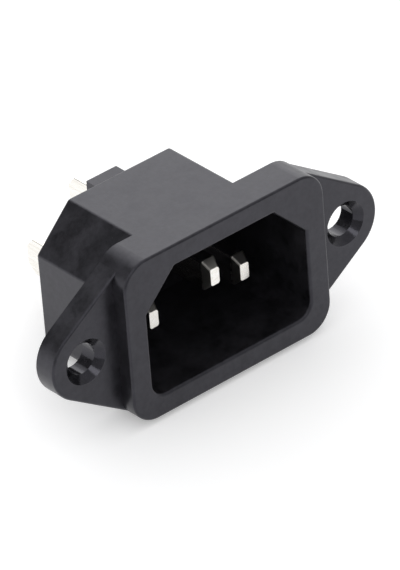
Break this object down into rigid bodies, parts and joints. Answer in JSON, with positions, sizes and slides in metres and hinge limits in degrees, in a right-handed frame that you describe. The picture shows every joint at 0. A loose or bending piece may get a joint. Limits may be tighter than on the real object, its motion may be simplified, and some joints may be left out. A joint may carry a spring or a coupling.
{
  "type": "panel inlet socket",
  "caption": "Screw-mount mains inlet for a panel: cored flange with countersunk ears, chamfered connector cavity, and blade contacts ending in solder tags.",
  "frame": {"origin": "midway between the screw holes, on the back of the flange, where it meets the panel", "axes": "+X along the line of the two screws, towards the neutral blade; +Y rearward, the way the connector goes in; +Z towards the earth side, where the cavity's corners are cut"},
  "size_m": [0.0498, 0.0282, 0.0218],
  "materials": {
    "black_moulding": "fine moulded texture",
    "tinned_brass": "bright tin plating over brass, bare on sheared faces"
  },
  "bodies": {
    "root": {"housing": "black_moulding", "line_contact": "tinned_brass", "neutral_contact": "tinned_brass", "earth_contact": "tinned_brass"}
  },
  "joints": []
}
